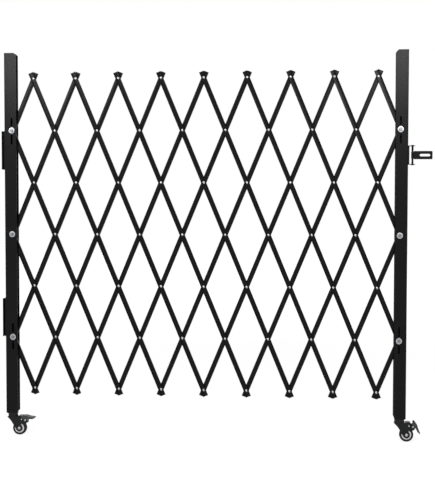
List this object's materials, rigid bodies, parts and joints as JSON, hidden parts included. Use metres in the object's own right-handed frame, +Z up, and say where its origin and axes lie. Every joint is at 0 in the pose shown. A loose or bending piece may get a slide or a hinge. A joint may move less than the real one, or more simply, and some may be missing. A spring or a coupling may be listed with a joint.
{
  "type": "expandable safety barrier",
  "caption": "Black steel scissor gate: riveted channel lattice between slotted channel posts, with braked swivel casters, wall hinges and a swinging hasp.",
  "frame": {"origin": "middle of the lower wall leaf's outer face, where it lies on the wall", "axes": "+Z up, +X along the gate from its wall hinges to its hasp, -Y is the front"},
  "size_m": [1.6929, 0.0508, 1.5236],
  "materials": {
    "black_powder_coat": "satin black powder coat",
    "bright_zinc_plate": "bright zinc plate",
    "plated_brake_steel": "dark dull plate",
    "black_tread_rubber": "matt rubber",
    "pale_wheel_plastic": "satin moulded"
  },
  "bodies": {
    "wall": {"upper_hinge_wall_leaf": "black_powder_coat", "lower_hinge_wall_leaf": "black_powder_coat", "upper_hinge_pin": "bright_zinc_plate", "lower_hinge_pin": "bright_zinc_plate"},
    "left_post": {"left_post": "black_powder_coat", "upper_hinge_post_leaf": "black_powder_coat", "lower_hinge_post_leaf": "black_powder_coat", "left_middle_bolt": "bright_zinc_plate", "left_middle_nut": "bright_zinc_plate", "left_caster_plate": "black_powder_coat"},
    "front_link_01": {"front_link_01": "black_powder_coat", "left_lower_bolt": "bright_zinc_plate", "left_lower_nut": "bright_zinc_plate"},
    "front_link_02": {"front_link_02": "black_powder_coat"},
    "front_link_03": {"front_link_03": "black_powder_coat", "left_upper_bolt": "bright_zinc_plate", "left_upper_nut": "bright_zinc_plate"},
    "front_link_04": {"front_link_04": "black_powder_coat"},
    "front_link_05": {"front_link_05": "black_powder_coat"},
    "front_link_06": {"front_link_06": "black_powder_coat"},
    "front_link_07": {"front_link_07": "black_powder_coat"},
    "front_link_08": {"front_link_08": "black_powder_coat"},
    "front_link_09": {"front_link_09": "black_powder_coat"},
    "front_link_10": {"front_link_10": "black_powder_coat", "right_lower_bolt": "bright_zinc_plate", "right_lower_nut": "bright_zinc_plate"},
    "front_link_11": {"front_link_11": "black_powder_coat"},
    "front_link_12": {"front_link_12": "black_powder_coat", "right_upper_bolt": "bright_zinc_plate", "right_upper_nut": "bright_zinc_plate"},
    "rear_link_01": {"rear_link_01": "black_powder_coat"},
    "rear_link_02": {"rear_link_02": "black_powder_coat"},
    "rear_link_03": {"rear_link_03": "black_powder_coat"},
    "rear_link_04": {"rear_link_04": "black_powder_coat"},
    "rear_link_05": {"rear_link_05": "black_powder_coat"},
    "rear_link_06": {"rear_link_06": "black_powder_coat"},
    "rear_link_07": {"rear_link_07": "black_powder_coat"},
    "rear_link_08": {"rear_link_08": "black_powder_coat"},
    "rear_link_09": {"rear_link_09": "black_powder_coat"},
    "rear_link_10": {"rear_link_10": "black_powder_coat"},
    "rear_link_11": {"rear_link_11": "black_powder_coat"},
    "rear_link_12": {"rear_link_12": "black_powder_coat"},
    "right_post": {"right_post": "black_powder_coat", "right_middle_bolt": "bright_zinc_plate", "right_middle_nut": "bright_zinc_plate", "right_caster_plate": "black_powder_coat", "latch_bracket": "black_powder_coat", "latch_pin": "black_powder_coat"},
    "left_caster": {"left_caster_fork": "black_powder_coat", "left_caster_axle": "bright_zinc_plate"},
    "left_wheel": {"left_caster_wheel": "pale_wheel_plastic", "left_caster_tyre": "black_tread_rubber"},
    "left_brake": {"left_caster_brake": "plated_brake_steel"},
    "right_caster": {"right_caster_fork": "black_powder_coat", "right_caster_axle": "bright_zinc_plate"},
    "right_wheel": {"right_caster_wheel": "pale_wheel_plastic", "right_caster_tyre": "black_tread_rubber"},
    "right_brake": {"right_caster_brake": "plated_brake_steel"},
    "hasp": {"latch_hasp": "black_powder_coat"}
  },
  "joints": [
    {"name": "gate_swing", "type": "hinge", "parent": "wall", "child": "left_post", "pos_m": [0.00585, 0.02185, 0.333], "axis": [0, 0, 1], "range_deg": [0, 180]},
    {"name": "lattice_fold", "type": "hinge", "parent": "left_post", "child": "rear_link_02", "pos_m": [0.0413, 0, 0.333], "axis": [0, 1, 0], "range_deg": [-19.45, 13.05]},
    {"name": "front_02_pivot", "type": "hinge", "parent": "left_post", "child": "front_link_02", "pos_m": [0.0413, 0, 0.333], "axis": [0, 1, 0], "range_deg": [-13.05, 19.45]},
    {"name": "front_03_pivot", "type": "hinge", "parent": "rear_link_02", "child": "front_link_03", "pos_m": [0.12618, 0, 0.53842], "axis": [0, 1, 0], "range_deg": [-26.1, 38.9]},
    {"name": "front_04_pivot", "type": "hinge", "parent": "rear_link_02", "child": "front_link_04", "pos_m": [0.21106, 0, 0.74385], "axis": [0, 1, 0], "range_deg": [-26.1, 38.9]},
    {"name": "front_05_pivot", "type": "hinge", "parent": "rear_link_02", "child": "front_link_05", "pos_m": [0.29594, 0, 0.94927], "axis": [0, 1, 0], "range_deg": [-26.1, 38.9]},
    {"name": "rear_03_pivot", "type": "hinge", "parent": "front_link_02", "child": "rear_link_03", "pos_m": [0.12618, 0, 0.12758], "axis": [0, 1, 0], "range_deg": [-38.9, 26.1]},
    {"name": "rear_04_pivot", "type": "hinge", "parent": "front_link_02", "child": "rear_link_04", "pos_m": [0.21106, 0, -0.07785], "axis": [0, 1, 0], "range_deg": [-38.9, 26.1]},
    {"name": "rear_05_pivot", "type": "hinge", "parent": "front_link_02", "child": "rear_link_05", "pos_m": [0.29594, 0, -0.28327], "axis": [0, 1, 0], "range_deg": [-38.9, 26.1]},
    {"name": "rear_01_pivot", "type": "hinge", "parent": "front_link_04", "child": "rear_link_01", "pos_m": [0.12618, 0, 0.94927], "axis": [0, 1, 0], "range_deg": [-38.9, 26.1]},
    {"name": "front_01_pivot", "type": "hinge", "parent": "rear_link_04", "child": "front_link_01", "pos_m": [0.12618, 0, -0.28327], "axis": [0, 1, 0], "range_deg": [-26.1, 38.9]},
    {"name": "rear_06_pivot", "type": "hinge", "parent": "front_link_05", "child": "rear_link_06", "pos_m": [0.63546, 0, 0.12758], "axis": [0, 1, 0], "range_deg": [-38.9, 26.1]},
    {"name": "rear_07_pivot", "type": "hinge", "parent": "front_link_05", "child": "rear_link_07", "pos_m": [0.72034, 0, -0.07785], "axis": [0, 1, 0], "range_deg": [-38.9, 26.1]},
    {"name": "rear_08_pivot", "type": "hinge", "parent": "front_link_05", "child": "rear_link_08", "pos_m": [0.80522, 0, -0.28327], "axis": [0, 1, 0], "range_deg": [-38.9, 26.1]},
    {"name": "front_06_pivot", "type": "hinge", "parent": "rear_link_05", "child": "front_link_06", "pos_m": [0.63546, 0, 0.53842], "axis": [0, 1, 0], "range_deg": [-26.1, 38.9]},
    {"name": "front_07_pivot", "type": "hinge", "parent": "rear_link_05", "child": "front_link_07", "pos_m": [0.72034, 0, 0.74385], "axis": [0, 1, 0], "range_deg": [-26.1, 38.9]},
    {"name": "front_08_pivot", "type": "hinge", "parent": "rear_link_08", "child": "front_link_08", "pos_m": [1.05986, 0, 0.333], "axis": [0, 1, 0], "range_deg": [-26.1, 38.9]},
    {"name": "front_09_pivot", "type": "hinge", "parent": "rear_link_08", "child": "front_link_09", "pos_m": [1.14474, 0, 0.53842], "axis": [0, 1, 0], "range_deg": [-26.1, 38.9]},
    {"name": "front_10_pivot", "type": "hinge", "parent": "rear_link_08", "child": "front_link_10", "pos_m": [1.22962, 0, 0.74385], "axis": [0, 1, 0], "range_deg": [-26.1, 38.9]},
    {"name": "front_11_pivot", "type": "hinge", "parent": "rear_link_08", "child": "front_link_11", "pos_m": [1.3145, 0, 0.94927], "axis": [0, 1, 0], "range_deg": [-26.1, 38.9]},
    {"name": "rear_09_pivot", "type": "hinge", "parent": "front_link_11", "child": "rear_link_09", "pos_m": [1.39938, 0, 0.74385], "axis": [0, 1, 0], "range_deg": [-38.9, 26.1]},
    {"name": "rear_10_pivot", "type": "hinge", "parent": "front_link_11", "child": "rear_link_10", "pos_m": [1.48426, 0, 0.53842], "axis": [0, 1, 0], "range_deg": [-38.9, 26.1]},
    {"name": "rear_11_pivot", "type": "hinge", "parent": "front_link_11", "child": "rear_link_11", "pos_m": [1.56914, 0, 0.333], "axis": [0, 1, 0], "range_deg": [-38.9, 26.1]},
    {"name": "front_12_pivot", "type": "hinge", "parent": "rear_link_09", "child": "front_link_12", "pos_m": [1.48426, 0, 0.94927], "axis": [0, 1, 0], "range_deg": [-26.1, 38.9]},
    {"name": "rear_12_pivot", "type": "hinge", "parent": "front_link_09", "child": "rear_link_12", "pos_m": [1.48426, 0, -0.28327], "axis": [0, 1, 0], "range_deg": [-38.9, 26.1]},
    {"name": "right_post_upright", "type": "hinge", "parent": "front_link_11", "child": "right_post", "pos_m": [1.56914, 0, 0.333], "axis": [0, 1, 0], "range_deg": [-19.45, 13.05]},
    {"name": "left_caster_swivel", "type": "hinge", "parent": "left_post", "child": "left_caster", "pos_m": [0.036, 0, -0.474], "axis": [0, 0, 1], "continuous": true},
    {"name": "left_wheel_spin", "type": "hinge", "parent": "left_caster", "child": "left_wheel", "pos_m": [0.0635, 0, -0.446], "axis": [0, 1, 0], "continuous": true},
    {"name": "left_brake_press", "type": "hinge", "parent": "left_caster", "child": "left_brake", "pos_m": [0.088, 0, -0.4135], "axis": [0, 1, 0], "range_deg": [0, 58]},
    {"name": "right_caster_swivel", "type": "hinge", "parent": "right_post", "child": "right_caster", "pos_m": [1.57444, 0, -0.474], "axis": [0, 0, 1], "continuous": true},
    {"name": "right_wheel_spin", "type": "hinge", "parent": "right_caster", "child": "right_wheel", "pos_m": [1.60194, 0, -0.446], "axis": [0, 1, 0], "continuous": true},
    {"name": "right_brake_press", "type": "hinge", "parent": "right_caster", "child": "right_brake", "pos_m": [1.62644, 0, -0.4135], "axis": [0, 1, 0], "range_deg": [-58, 0]},
    {"name": "hasp_swing", "type": "hinge", "parent": "right_post", "child": "hasp", "pos_m": [1.61644, 0, 0.6446], "axis": [0, 0, 1], "range_deg": [-90, 90]}
  ],
  "couplings": [
    {"joint": "front_02_pivot", "follows": "lattice_fold", "ratio": -1},
    {"joint": "front_03_pivot", "follows": "lattice_fold", "ratio": -2},
    {"joint": "front_04_pivot", "follows": "lattice_fold", "ratio": -2},
    {"joint": "front_05_pivot", "follows": "lattice_fold", "ratio": -2},
    {"joint": "rear_03_pivot", "follows": "lattice_fold", "ratio": 2},
    {"joint": "rear_04_pivot", "follows": "lattice_fold", "ratio": 2},
    {"joint": "rear_05_pivot", "follows": "lattice_fold", "ratio": 2},
    {"joint": "rear_01_pivot", "follows": "lattice_fold", "ratio": 2},
    {"joint": "front_01_pivot", "follows": "lattice_fold", "ratio": -2},
    {"joint": "rear_06_pivot", "follows": "lattice_fold", "ratio": 2},
    {"joint": "rear_07_pivot", "follows": "lattice_fold", "ratio": 2},
    {"joint": "rear_08_pivot", "follows": "lattice_fold", "ratio": 2},
    {"joint": "front_06_pivot", "follows": "lattice_fold", "ratio": -2},
    {"joint": "front_07_pivot", "follows": "lattice_fold", "ratio": -2},
    {"joint": "front_08_pivot", "follows": "lattice_fold", "ratio": -2},
    {"joint": "front_09_pivot", "follows": "lattice_fold", "ratio": -2},
    {"joint": "front_10_pivot", "follows": "lattice_fold", "ratio": -2},
    {"joint": "front_11_pivot", "follows": "lattice_fold", "ratio": -2},
    {"joint": "rear_09_pivot", "follows": "lattice_fold", "ratio": 2},
    {"joint": "rear_10_pivot", "follows": "lattice_fold", "ratio": 2},
    {"joint": "rear_11_pivot", "follows": "lattice_fold", "ratio": 2},
    {"joint": "front_12_pivot", "follows": "lattice_fold", "ratio": -2},
    {"joint": "rear_12_pivot", "follows": "lattice_fold", "ratio": 2},
    {"joint": "right_post_upright", "follows": "lattice_fold", "ratio": 1}
  ]
}
